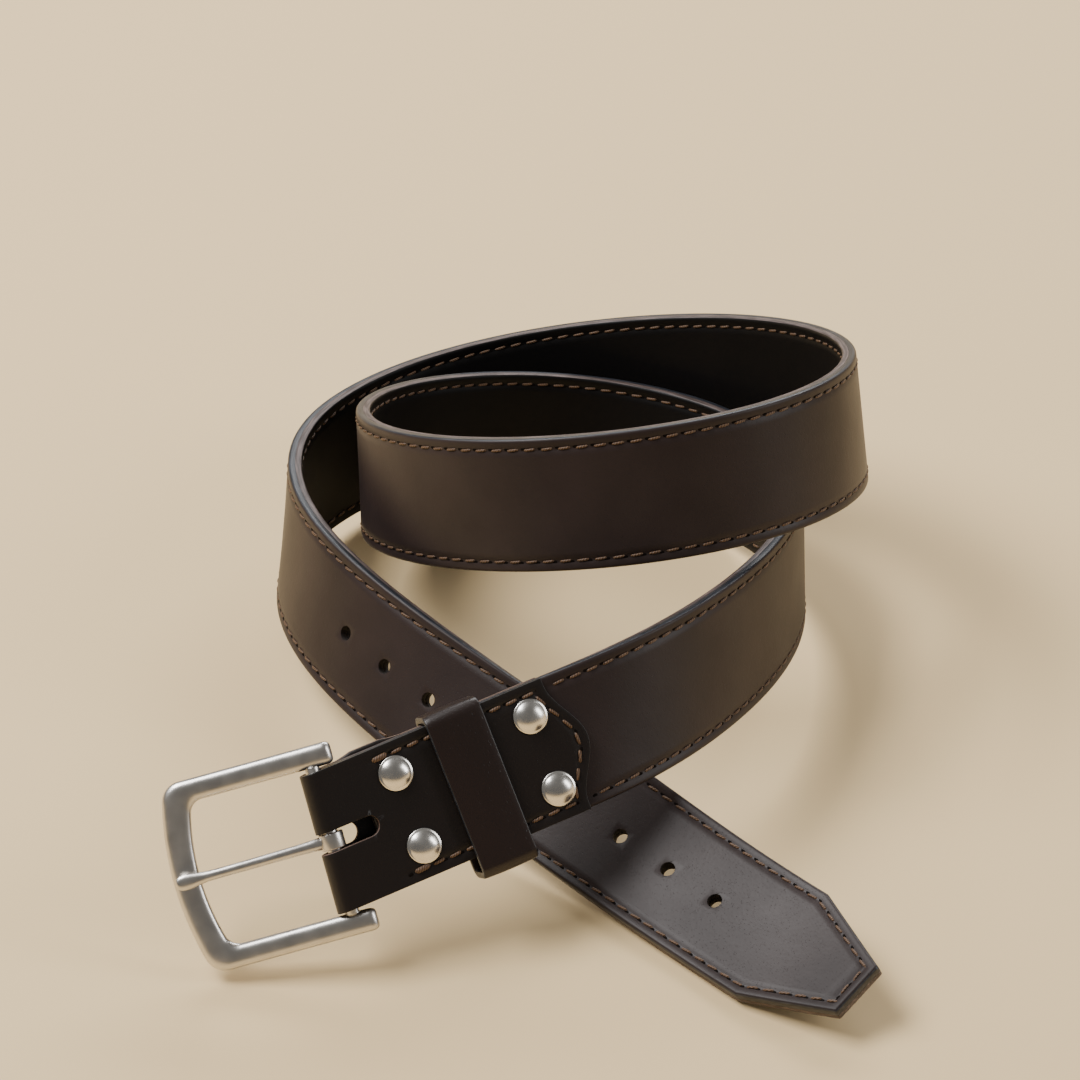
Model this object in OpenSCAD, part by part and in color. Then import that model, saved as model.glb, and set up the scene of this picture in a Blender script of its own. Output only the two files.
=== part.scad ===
// Leather belt with a heel-bar buckle, lying coiled one and three quarter turns.
// The strap is two plies sewn together. It bends and twists along its length but never within its own
// plane, as leather does, so its route is a list of bend and twist rates and nothing else.
// Origin: middle of the base. +Z is up and the buckle lies towards -X and -Y.

/* [Strap] */
// Width of the strap
strap_w = 38; // [36:0.5:38]
// Thickness of each of the strap's two plies
ply_t = 2.1; // [1.8:0.1:2.1]
// Chamfer on the outer edges of the plies
edge_cut = 0.6; // [0.3:0.1:0.8]
// Length from the buckle's bar to the end of the tip
strap_l = 1137; // [1132:1:1137]
// Length of the pointed tip
tip_l = 29; // [20:1:30]
// Width of the cut-off end of the tip
tip_w = 17; // [10:1:20]

/* [Holes] */
// Number of belt holes
holes = 9; // [5:2:9]
// Distance between neighbouring belt holes
hole_pitch = 17.6; // [16:0.1:18]
// Radius of a belt hole
hole_r = 2.1; // [2:0.1:2.6]
// Distance from the last belt hole to the end of the tip
hole_to_tip = 54.5; // [50:0.5:60]

/* [Seams] */
// Distance of every seam from the edge of the leather
seam_inset = 3; // [2.5:0.5:4]
// Width of the thread
thread_w = 0.8; // [0.6:0.1:1]
// Height that the thread stands proud of the leather
thread_h = 0.3; // [0.2:0.05:0.3]

/* [Chape] */
// Thickness of the chape's leather
leaf_t = 1.8; // [1.6:0.1:1.8]
// Length of the chape from the bar to its corners
chape_l = 68.5; // [68:0.5:69]
// How far the bracket-shaped end reaches past its corners
bracket_l = 6.5; // [4:0.5:7]
// Width of the prong slot
slot_w = 5.6; // [5.4:0.1:6]
// Distance from the bar to the end of the prong slot
slot_l = 13; // [11:0.5:14]
// The same distance in the chape's back leaf, where the slot is shorter
slot_back_l = 8; // [7:0.5:10]

/* [Rivets] */
// Distance from the bar to the first pair of rivets
rivet_x = 22; // [21:0.5:22]
// Distance from the first pair of rivets to the second
rivet_gap = 40; // [40:0.5:41]
// Distance of each rivet from the middle of the strap
rivet_y = 10.5; // [9:0.5:11]
// Radius of a rivet's cap
cap_r = 4.8; // [4:0.1:4.8]
// Height of a rivet's domed cap
cap_h = 2.2; // [1.5:0.1:2.4]

/* [Keeper] */
// Width of the keeper along the strap
keeper_w = 16; // [14:0.5:16]
// Thickness of the keeper's leather
keeper_t = 1.8; // [1.6:0.1:1.8]
// Slack of the loop below the strap's edge
keeper_slack = 4.5; // [4:0.5:5]

/* [Buckle] */
// Length from the heel bar to the middle of the front bar's outer edge
frame_l = 44; // [42:0.5:46]
// Width of the frame across its arms
frame_w = 52.5; // [52.5:0.5:54]
// Width of each arm
arm_w = 6.2; // [5.6:0.1:6.2]
// How far the middle of each arm's round end lies past the heel bar
heel_l = 4; // [0:0.5:4]
// Width of the front bar
front_w = 7.4; // [6.6:0.2:7.6]
// Bow of the front bar
front_bow = 4; // [3:0.5:5]
// Thickness of the frame
frame_t = 4.6; // [4:0.1:4.8]
// Radius of the prong's wire
prong_r = 1.5; // [1.3:0.1:1.6]

/* [Hidden] */
eps = 0.01;
outer_leather = "#3b2c28";
lining_leather = "#1d1b1c";
chape_leather = "#2e2220";
thread_colour = "#7a5232";
nickel = "#c9c6c0";

// Where the bar lies, and how the strap leaves it: heading, climb and lean in degrees
bar_place = [-52.04, -95.39, 33.52];
heading = 24;
climb = 10;
lean = 35;
// The stiff chape keeps the strap straight this far. After it a station follows every bay along the strap
straight_l = 70;
bay = 60;
// Bend and twist at the stations, in degrees for each 100 mm of strap. Between stations they change evenly
bends = [89, 35, 45, 83, 98, 93, 82, 70, 87, 92, 69, 57, 73, 84, 62, 33, -15, -25, 0];
twists = [43, 18, 10, 10, 6, 12, 14, -2, 2, 2, -8, -1, -8, -26, -29, -30, -40, -5, 0];
ring_step = 7;
rings = ceil(strap_l / ring_step);

// A frame is [place, along, across, outward]: the strap's middle, its run, its width and its grain side
function turned(v, axis, a) = v * cos(a) + cross(axis, v) * sin(a) + axis * (axis * v) * (1 - cos(a));
function first_frame() =
    let (level = [cos(heading), sin(heading), 0],
         t = level * cos(climb) + [0, 0, sin(climb)],
         up = [0, 0, cos(climb)] - level * sin(climb),
         w = turned(up, t, -lean))
    [bar_place, t, w, cross(t, w)];
function rate(table, s) =
    s < straight_l ? 0 :
    let (u = (s - straight_l) / bay, i = min(floor(u), len(table) - 2))
    table[i] + (table[i + 1] - table[i]) * (u - i);
function next_frame(f, s, step) =
    let (turn = (f[2] * rate(bends, s + step / 2) + f[1] * rate(twists, s + step / 2)) * step / 100,
         a = norm(turn),
         axis = a < eps / 10 ? f[2] : turn / a,
         t = turned(f[1], axis, a),
         w = turned(f[2], axis, a))
    [f[0] + turned(f[1], axis, a / 2) * step, t, w, cross(t, w)];
frames = [for (i = 0, f = first_frame(); i <= rings;
               f = next_frame(f, i * ring_step, ring_step), i = i + 1) f];
function frame_at(s) =
    let (i = min(floor(s / ring_step), rings)) next_frame(frames[i], i * ring_step, s - i * ring_step);
function at(f, y, z) = f[0] + f[2] * y + f[3] * z;

// Children in a frame: +X runs along the strap, +Y across it and +Z out of its grain side
module placed(f)
    multmatrix([for (k = [0 : 2]) [f[1][k], f[2][k], f[3][k], f[0][k]]]) children();
module at_bar() placed(frames[0]) children();

strap_start = 4.6;
seam_start = chape_l + 1.5;
shoulder = strap_l - tip_l;
function half_width(s) =
    s < shoulder ? strap_w / 2 :
    strap_w / 2 - (strap_w - tip_w) / 2 * (s - shoulder) / tip_l;

// Where the seam crosses the tip, and how far from the middle it runs along each edge
cross_s = [strap_l - seam_inset - thread_w / 2, strap_l - seam_inset + thread_w / 2];
function seam_y(s) = half_width(s) - seam_inset;
function seam_sides(s, edge) = [edge * seam_y(s) - thread_w / 2, edge * seam_y(s) + thread_w / 2];

// Places along the strap that get a ring: each mark, and even steps that keep clear of the marks
mark_clear = 2;
function stops(marks) = concat(
    [for (k = [0 : len(marks) - 2])
        let (first = ceil((marks[k] + mark_clear) / ring_step),
             last = floor((marks[k + 1] - mark_clear) / ring_step))
        each concat([marks[k]], [for (i = [first : 1 : last]) i * ring_step])],
    [marks[len(marks) - 1]]);

// A closed solid swept along the strap from a list of rings, each a list of points. The points go round
// a ring one way on the grain side and the other way (flip) on the lining side, so that faces which
// lie together are cut into the same triangles
module skin(loops, flip) {
    n = len(loops[0]);
    last = len(loops) - 1;
    points = [for (l = loops) for (p = l) p];
    sides = [for (i = [0 : last - 1]) for (j = [0 : n - 1])
        let (k = (j + 1) % n, a = i * n, b = a + n)
        each [[a + j, a + k, b + k], [a + j, b + k, b + j]]];
    start = [for (j = [1 : n - 2]) [0, j + 1, j]];
    finish = [for (j = [1 : n - 2]) [last * n, last * n + j, last * n + j + 1]];
    faces = concat(sides, start, finish);
    polyhedron(points, flip ? [for (t = faces) [t[0], t[2], t[1]]] : faces);
}

// One ply of the strap, on the grain side (side = 1) or the lining side (side = -1)
function ply_ring(s, side) =
    let (f = frame_at(s), h = half_width(s), c = edge_cut, z = side * ply_t,
         face = concat([-h + c], seam_sides(s, -1), seam_sides(s, 1), [h - c]),
         section = concat([[-h, 0], [-h, z - side * c]], [for (y = face) [y, z]],
                          [[h, z - side * c], [h, 0]]))
    [for (p = section) at(f, p[0], p[1])];
module ply(side) {
    difference() {
        skin([for (s = stops(concat([strap_start, shoulder], cross_s, [strap_l]))) ply_ring(s, side)],
             side < 0);
        belt_holes();
        at_bar() rivet_holes();
        at_bar() prong_slot(slot_l, -2 * leaf_top);
    }
}
function hole_s(i) = strap_l - hole_to_tip - (holes - 1 - i) * hole_pitch;
module belt_holes()
    for (i = [0 : holes - 1])
        placed(frame_at(hole_s(i))) cylinder(h = 4 * ply_t, r = hole_r, center = true, $fn = 48);

// The seam: a flat thread along both edges and across the tip, on the grain (side = 1) or the lining.
// A ring of it is [place along of its inner side, the same of its outer side, edge of the strap]
function thread_ring(r, side) =
    let (f = frame_at(r[0]), g = frame_at(r[1]),
         inner = r[2] * (seam_y(r[0]) - thread_w / 2), outer = r[2] * (seam_y(r[1]) + thread_w / 2),
         low = side * ply_t, high = side * (ply_t + thread_h))
    [at(f, inner, low), at(g, outer, low), at(g, outer, high), at(f, inner, high)];
module seam(side) {
    straight = [for (s = stops([seam_start, shoulder, cross_s[0]])) if (s < cross_s[0]) [s, s]];
    half = concat(straight, [cross_s]);
    there = [for (r = half) concat(r, [1])];
    back = [for (k = [len(half) - 1 : -1 : 0]) concat(half[k], [-1])];
    skin([for (r = concat(there, back)) thread_ring(r, side)], side > 0);
}

// Chape: leaves on both sides of the strap, joined by a half tube round the bar
bar_skew = 6;
bar_r = ply_t - 0.1;
leaf_top = ply_t + leaf_t;
bracket_y = 17;
second_x = rivet_x + rivet_gap;
keeper_x = rivet_x + rivet_gap / 2;
module at_skewed_bar() rotate([0, 0, -bar_skew]) children();
function bracket_x(y, inset) =
    chape_l - inset + bracket_l * (abs(y) < bracket_y ? 0.5 + 0.5 * cos(180 * y / bracket_y) : 0);
// The outline of a leaf, drawn in by inset
module leaf_outline(inset, from) {
    h = strap_w / 2 - inset;
    steps = 24;
    end = [for (i = [0 : steps]) let (y = h - 2 * h * i / steps)
        [bracket_x(y, inset), y]];
    polygon(concat([[from - h * tan(bar_skew), -h], [from + h * tan(bar_skew), h]], end));
}
module leaf(side)
    translate([0, 0, side > 0 ? ply_t : -leaf_top]) linear_extrude(leaf_t) leaf_outline(0, 0);
module along_bar(r, l) rotate([90, 0, 0]) cylinder(h = l, r = r, center = true, $fn = 64);
module wrap() {
    lap = 0.5;
    intersection() {
        at_skewed_bar() difference() {
            union() {
                along_bar(leaf_top, 2 * strap_w);
                translate([0, -strap_w, -leaf_top]) cube([lap, 2 * strap_w, 2 * leaf_top]);
            }
            along_bar(ply_t, 3 * strap_w);
            translate([0, -strap_w, -ply_t]) cube([leaf_top, 2 * strap_w, 2 * ply_t]);
            translate([lap, -strap_w, -leaf_top]) cube([leaf_top, 2 * strap_w, 2 * leaf_top]);
        }
        cube([strap_w, strap_w, strap_w], center = true);
    }
}
// A slot of length l, cut through all the leather above low
module prong_slot(l, low) {
    straight = l - slot_w / 2;
    height = 2 * leaf_top - low;
    translate([straight, 0, low]) cylinder(h = height, r = slot_w / 2, $fn = 48);
    translate([-slot_l, -slot_w / 2, low]) cube([slot_l + straight, slot_w, height]);
}
rivet_places = [for (x = [rivet_x, second_x]) for (y = [rivet_y, -rivet_y]) [x, y, 0]];
post_r = 1.5;
module rivet_holes()
    for (p = rivet_places) translate(p) cylinder(h = 4 * leaf_top, r = post_r, center = true, $fn = 32);
module chape_seam(side) {
    from = 13;
    translate([0, 0, side > 0 ? leaf_top : -leaf_top - thread_h]) linear_extrude(thread_h)
        difference() {
            leaf_outline(seam_inset - thread_w / 2, from);
            leaf_outline(seam_inset + thread_w / 2, from - 1);
        }
}

// Rivets: a domed cap on the front, and a post with a flat flange at the back
module rivet_cap(i) {
    dome_r = (cap_r * cap_r + cap_h * cap_h) / (2 * cap_h);
    at_bar() translate(rivet_places[i] + [0, 0, leaf_top]) intersection() {
        translate([0, 0, cap_h - dome_r]) sphere(r = dome_r, $fn = 64);
        cylinder(h = cap_h, r = cap_r, $fn = 64);
    }
}
module rivet_post(i) {
    flange_h = 0.8;
    flange_r = 4.4;
    at_bar() translate(rivet_places[i] - [0, 0, leaf_top]) {
        cylinder(h = 2 * leaf_top, r = post_r, $fn = 32);
        translate([0, 0, -flange_h]) cylinder(h = flange_h, r = flange_r, $fn = 64);
    }
}

// Keeper: a closed loop round the chape, with its slack hanging below
keeper_gap = 0.3;
keeper_top = strap_w / 2 + 0.5;
keeper_low = -strap_w / 2 - keeper_slack;
keeper_z = leaf_top + thread_h + keeper_gap;
function arc(x, y, r, from, steps) =
    [for (k = [0 : steps]) let (a = from + 90 * k / steps) [x + r * cos(a), y + r * sin(a)]];
function rounded(x0, x1, y0, y1, r) = concat(
    arc(x1 - r, y1 - r, r, 0, 6), arc(x0 + r, y1 - r, r, 90, 6),
    arc(x0 + r, y0 + r, r, 180, 6), arc(x1 - r, y0 + r, r, 270, 6));
staple_w = 1;
staple_l = 8;
module staple() {
    crown_h = 0.6;
    point_cover = 0.4;
    back = -keeper_z - keeper_t;
    translate([keeper_x - staple_w / 2, -staple_l / 2, back - crown_h]) cube([staple_w, staple_l, crown_h]);
    for (y = [-staple_l / 2, staple_l / 2 - staple_w])
        translate([keeper_x - staple_w / 2, y, back]) cube([staple_w, staple_w, keeper_t - point_cover]);
}

// Buckle frame: arms and bowed front bar in one casting, with the heel bar between the arms' round ends
swing = -15;
frame_half = frame_w / 2;
arm_y = frame_half - arm_w;
outer_round = 6;
inner_round = 4;
function bow_x(y, l, h, bow) = -l + bow * (y / h) * (y / h);
corner_steps = 8;
bow_steps = 12;
// The rounded corner between an arm and the bow; lead is the bow's slope where the corner meets it
function corner(l, h, bow, r) =
    let (lead = atan(1.6 * bow / h), cy = h - r, y_end = cy + r * sin(lead),
         cx = bow_x(y_end, l, h, bow) + r * cos(lead))
    [for (k = [0 : corner_steps]) let (a = 90 + (90 - lead) * k / corner_steps)
        [cx + r * cos(a), cy + r * sin(a)]];
function frame_outline(l, h, bow, r, back) =
    let (side = concat([[back, h]], corner(l, h, bow, r)), y_end = side[len(side) - 1][1])
    concat(side,
           [for (k = [1 : bow_steps - 1])
               let (y = y_end * (1 - 2 * k / bow_steps)) [bow_x(y, l, h, bow), y]],
           [for (k = [len(side) - 1 : -1 : 0]) [side[k][0], -side[k][1]]]);
module at_buckle() at_bar() at_skewed_bar() rotate([0, swing, 0]) children();

// Prong: an eye round the bar and a wire that rests on the front bar, flattened at its end
module prong_shape() {
    eye_w = 4.4;
    eye_r = bar_r + 1.4;
    running_gap = 0.06;
    start = [-bar_r - 0.7, 0, 0.6];
    rest = [-frame_l + front_w / 2, 0, frame_t / 2 + prong_r + 0.45];
    rise = atan2(rest[2] - start[2], start[0] - rest[0]);
    paddle_l = 7;
    paddle_w = 4.4;
    paddle_t = 2.4;
    difference() {
        along_bar(eye_r, eye_w);
        along_bar(bar_r + running_gap, 2 * eye_w);
    }
    translate(start) rotate([0, rise - 90, 0]) cylinder(h = norm(rest - start), r = prong_r, $fn = 48);
    translate(rest) rotate([0, rise, 0]) translate([0, 0, -paddle_t / 2]) {
        cylinder(h = paddle_t, r = paddle_w / 2, $fn = 48);
        translate([0, -paddle_w / 2, 0]) cube([paddle_l - paddle_w / 2, paddle_w, paddle_t]);
    }
}

module strap_front() color(outer_leather) ply(1);
module strap_back() color(lining_leather) ply(-1);
module strap_seam_front() color(thread_colour) seam(1);
module strap_seam_back() color(thread_colour) seam(-1);
module chape() color(chape_leather) at_bar() difference() {
    union() {
        leaf(1);
        leaf(-1);
        wrap();
    }
    prong_slot(slot_back_l, -2 * leaf_top);
    prong_slot(slot_l, 0);
    rivet_holes();
}
module chape_seam_front() color(thread_colour) at_bar() chape_seam(1);
module chape_seam_back() color(thread_colour) at_bar() chape_seam(-1);
module rivet_cap_1() color(nickel) rivet_cap(0);
module rivet_cap_2() color(nickel) rivet_cap(1);
module rivet_cap_3() color(nickel) rivet_cap(2);
module rivet_cap_4() color(nickel) rivet_cap(3);
module rivet_post_1() color(nickel) rivet_post(0);
module rivet_post_2() color(nickel) rivet_post(1);
module rivet_post_3() color(nickel) rivet_post(2);
module rivet_post_4() color(nickel) rivet_post(3);
module keeper() color(chape_leather) at_bar() difference() {
    translate([keeper_x - keeper_w / 2, 0, 0]) rotate([90, 0, 90]) linear_extrude(keeper_w)
        difference() {
            polygon(rounded(keeper_low - keeper_t, keeper_top + keeper_t,
                            -keeper_z - keeper_t, keeper_z + keeper_t, 3));
            polygon(rounded(keeper_low, keeper_top, -keeper_z, keeper_z, 1.4));
        }
    staple();
}
module keeper_staple() color(nickel) at_bar() staple();
module buckle_frame() color(nickel) at_buckle() {
    sunk = 0.5;
    along_bar(bar_r, 2 * (arm_y + sunk));
    for (side = [-1, 1])
        translate([heel_l, side * (arm_y + arm_w / 2), 0]) along_bar(frame_t / 2, arm_w);
    translate([0, 0, -frame_t / 2]) linear_extrude(frame_t) difference() {
        polygon(frame_outline(frame_l, frame_half, front_bow, outer_round, heel_l));
        polygon(frame_outline(frame_l - front_w, arm_y, front_bow * arm_y / frame_half, inner_round,
                              heel_l + 1));
    }
}
module prong() color(nickel) at_buckle() prong_shape();

strap_front();
strap_back();
strap_seam_front();
strap_seam_back();
chape();
chape_seam_front();
chape_seam_back();
rivet_cap_1();
rivet_cap_2();
rivet_cap_3();
rivet_cap_4();
rivet_post_1();
rivet_post_2();
rivet_post_3();
rivet_post_4();
keeper();
keeper_staple();
buckle_frame();
prong();
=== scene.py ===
import math

import bmesh
import bpy
from mathutils import Matrix, Quaternion, Vector


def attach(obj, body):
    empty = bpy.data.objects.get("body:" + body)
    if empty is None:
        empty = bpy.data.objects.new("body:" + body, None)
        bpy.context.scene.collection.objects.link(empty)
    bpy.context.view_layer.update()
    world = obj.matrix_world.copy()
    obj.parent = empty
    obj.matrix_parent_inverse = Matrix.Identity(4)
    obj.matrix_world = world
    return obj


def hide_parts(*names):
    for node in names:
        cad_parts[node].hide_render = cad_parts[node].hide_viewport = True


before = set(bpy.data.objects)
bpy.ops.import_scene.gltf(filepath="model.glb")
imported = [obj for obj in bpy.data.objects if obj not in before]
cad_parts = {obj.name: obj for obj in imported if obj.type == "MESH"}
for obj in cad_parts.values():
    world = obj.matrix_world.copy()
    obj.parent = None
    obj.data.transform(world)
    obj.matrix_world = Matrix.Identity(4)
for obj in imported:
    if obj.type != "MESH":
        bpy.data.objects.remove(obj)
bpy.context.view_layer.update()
MM = 0.001

# --- Floor, light and camera -------------------------------------------------------------------
# A plain pale table top that fills the view, two broad soft lights, one from the upper left and one
# from behind, and a weak one from the right. The camera looks down at 35 degrees.
floor_bm = bmesh.new()
bmesh.ops.create_grid(floor_bm, x_segments=1, y_segments=1, size=4)
floor_mesh = bpy.data.meshes.new("floor")
floor_bm.to_mesh(floor_mesh)
floor_bm.free()
floor = bpy.data.objects.new("floor", floor_mesh)
bpy.context.scene.collection.objects.link(floor)
floor_paper = bpy.data.materials.new("floor_paper")
floor_paper.use_nodes = True
floor_paper.node_tree.nodes["Principled BSDF"].inputs["Base Color"].default_value = (0.80, 0.585, 0.31, 1)
floor_paper.node_tree.nodes["Principled BSDF"].inputs["Roughness"].default_value = 0.85
floor.data.materials.append(floor_paper)


def soft_light(name, place, aim, size, power, tint=(1, 1, 1)):
    lamp = bpy.data.lights.new(name, "AREA")
    lamp.shape = "RECTANGLE"
    lamp.size, lamp.size_y = size
    lamp.energy = power
    lamp.color = tint
    holder = bpy.data.objects.new(name, lamp)
    bpy.context.scene.collection.objects.link(holder)
    holder.location = place
    holder.rotation_euler = (Vector(aim) - Vector(place)).to_track_quat("-Z", "Y").to_euler()


soft_light("key_light", (-0.9, 0.15, 1.4), (0, 0, 0.03), (1.1, 0.7), 40)
soft_light("back_light", (0.4, 1.5, 1.1), (0, 0, 0.03), (1.6, 0.5), 26)
soft_light("side_light", (1.5, -0.2, 0.8), (0, 0, 0.05), (0.4, 1.0), 10)
surroundings = bpy.data.worlds.new("surroundings")
surroundings.use_nodes = True
surroundings.node_tree.nodes["Background"].inputs["Color"].default_value = (1, 0.97, 0.93, 1)
surroundings.node_tree.nodes["Background"].inputs["Strength"].default_value = 0.16
bpy.context.scene.world = surroundings

camera = bpy.data.objects.new("camera", bpy.data.cameras.new("camera"))
bpy.context.scene.collection.objects.link(camera)
camera.data.sensor_width = 36
camera.data.lens = 190
camera.location = (0.00349, -1.29716, 0.97302)
camera.rotation_euler = (math.radians(55), 0, 0)
bpy.context.scene.camera = camera

# --- Strap, grain side --------------------------------------------------------------------------
# The outer ply of the strap: full-grain cowhide 2.1 mm thick, dyed dark brown and waxed, with its
# edges rounded and painted. It is cut flat, punched, grooved for the seam and then bent to its coil.
strap_w, ply_t, strap_l = 38 * MM, 2.1 * MM, 1137 * MM
tip_l, tip_w = 29 * MM, 17 * MM
strap_start, shoulder = 4.6 * MM, strap_l - tip_l
hole_count, hole_pitch, hole_r, hole_to_tip = 9, 17.6 * MM, 2.1 * MM, 54.5 * MM
seam_inset, groove_half, groove_wall, groove_deep = 3 * MM, 0.42 * MM, 0.8 * MM, 0.22 * MM
groove_lines = (-groove_wall, -groove_half, groove_half, groove_wall)
ply_slot_l, ply_slot_half, punch_reach, hole_shade_rim = 12.4 * MM, 3.3 * MM, 3.6 * MM, 0.34 * MM
sheet_gap, edge_band = 0.02 * MM, 0.9 * MM
edge_round, hole_round, inner_round = 0.85 * MM, 0.35 * MM, 0.28 * MM

# The coil: where the bar lies, how the strap leaves it, and the degrees of bend and twist for each
# 100 mm of strap at stations 60 mm apart, after the 70 mm that the chape keeps straight.
bar_place = Vector((-52.04, -95.39, 33.52)) * MM
heading, climb, lean = math.radians(24), math.radians(10), math.radians(35)
straight_l, bay, ring_step = 70 * MM, 60 * MM, 7 * MM
bends = [89, 35, 45, 83, 98, 93, 82, 70, 87, 92, 69, 57, 73, 84, 62, 33, -15, -25, 0]
twists = [43, 18, 10, 10, 6, 12, 14, -2, 2, 2, -8, -1, -8, -26, -29, -30, -40, -5, 0]


def rate(table, s):
    if s < straight_l:
        return 0.0
    u = (s - straight_l) / bay
    i = min(int(u), len(table) - 2)
    return math.radians(table[i] + (table[i + 1] - table[i]) * (u - i)) / (100 * MM)


def carried_on(ring, s, step):
    place, along, across = ring
    turn = (across * rate(bends, s + step / 2) + along * rate(twists, s + step / 2)) * step
    half, whole = Quaternion(turn, turn.length / 2), Quaternion(turn, turn.length)
    return place + half @ along * step, whole @ along, whole @ across


level = Vector((math.cos(heading), math.sin(heading), 0))
along_bar_end = level * math.cos(climb) + Vector((0, 0, math.sin(climb)))
upward = Vector((0, 0, math.cos(climb))) - level * math.sin(climb)
rings = [(bar_place, along_bar_end, Quaternion(along_bar_end, -lean) @ upward)]
while len(rings) * ring_step < strap_l + ring_step:
    rings.append(carried_on(rings[-1], (len(rings) - 1) * ring_step, ring_step))
known_rings = {}


def ring_at(s):
    key = round(s, 7)
    if key not in known_rings:
        i = int(s / ring_step)
        known_rings[key] = carried_on(rings[i], i * ring_step, s - i * ring_step)
    return known_rings[key]


def bent_to_coil(bm):
    """Keeps each point's flat place (along, across, outward) and takes it to its place in the coil."""
    flat = bm.verts.layers.float_vector.new("flat")
    for v in bm.verts:
        v[flat] = v.co
        place, along, across = ring_at(max(v.co.x, 0))
        v.co = place + across * v.co.y + along.cross(across) * v.co.z


def half_width(s):
    return strap_w / 2 - max(s - shoulder, 0) * (strap_w - tip_w) / 2 / tip_l


slant = math.hypot(tip_l, (strap_w - tip_w) / 2) / tip_l
end_seam, groove_start = strap_l - seam_inset, 72 * MM


def row_across(s, row):
    """Rows near the edge keep their distance from it round the tip, and those inside close up evenly."""
    h, margin = half_width(s), strap_w / 2 - abs(row)
    rim = seam_inset + 2 * groove_wall
    if s <= shoulder:
        return row
    if margin <= rim:
        return math.copysign(h - margin * slant, row)
    return row * (h - rim * slant) / (strap_w / 2 - rim)


def cut_sheet(stations, rows):
    """A flat sheet of leather with a line of points at each station along it and each row across it."""
    bm = bmesh.new()
    bmesh.ops.create_grid(bm, x_segments=len(stations) - 1, y_segments=len(rows) - 1, size=1)
    for v in bm.verts:
        i = round((v.co.x + 1) / 2 * (len(stations) - 1))
        j = round((v.co.y + 1) / 2 * (len(rows) - 1))
        v.co = stations[i], rows[j], 0
    return bm


def punch(bm, s, y, radius, reach):
    """A round hole, joined to the sheet round the cells that it takes out."""
    cells = [f for f in bm.faces
             if abs(f.calc_center_median().x - s) < reach and abs(f.calc_center_median().y - y) < reach]
    bmesh.ops.delete(bm, geom=cells, context="FACES")
    edge = [e for e in bm.edges if e.is_boundary
            and all(math.hypot(v.co.x - s, v.co.y - y) < 2.2 * reach for v in e.verts)]
    ring = bmesh.ops.create_circle(bm, segments=32, radius=radius, matrix=Matrix.Translation((s, y, 0)))
    circle = {e for v in ring["verts"] for e in v.link_edges}
    bmesh.ops.bridge_loops(bm, edges=edge + list(circle))


def thickened(bm, bottom, top):
    """Gives the sheet its thickness, from bottom to top, and its faces point outwards."""
    whole = bm.faces[:] + bm.edges[:] + bm.verts[:]
    made = bmesh.ops.extrude_face_region(bm, geom=whole, use_keep_orig=True)
    lifted = {v for v in made["geom"] if isinstance(v, bmesh.types.BMVert)}
    for v in bm.verts:
        v.co.z = top if v in lifted else bottom
    bmesh.ops.recalc_face_normals(bm, faces=bm.faces)


def rounded_off(bm, edges, offset, segments):
    bmesh.ops.bevel(bm, geom=edges, offset=offset, offset_type="OFFSET", segments=segments, profile=0.5,
                    affect="EDGES", material=-1, clamp_overlap=True)


def finished(bm, name, materials, body, slot, *nodes):
    """Makes the piece an object with smooth faces that stands for its CAD nodes and moves with its body."""
    for f in bm.faces:
        f.smooth = True
    mesh = bpy.data.meshes.new(name)
    bm.to_mesh(mesh)
    bm.free()
    for m in materials:
        mesh.materials.append(m)
    piece = bpy.data.objects.new(name, mesh)
    bpy.context.scene.collection.objects.link(piece)
    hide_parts(*nodes)
    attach(piece, body)
    return piece


def hole_place(i):
    return strap_l - hole_to_tip - (hole_count - 1 - i) * hole_pitch


cell = hole_pitch / 5
first_hole = hole_place(0)
before = int((first_hole - strap_start) / cell)
after = int((shoulder - first_hole) / cell)
strap_stations = [strap_start] + [first_hole + k * cell for k in range(1 - before, after + 1)]
strap_stations += [shoulder + k * tip_l / 8 for k in range(7)]
strap_stations += [end_seam + k for k in groove_lines]
strap_stations += [strap_l - edge_band, strap_l]
seam_row = strap_w / 2 - seam_inset
half_rows = [r * MM for r in (0, 3.3, 6.8, 10.4, 13.6)] + [seam_row + k for k in groove_lines]
half_rows += [strap_w / 2 - edge_band, strap_w / 2]
strap_rows = [-r for r in reversed(half_rows[1:])] + half_rows


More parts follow.
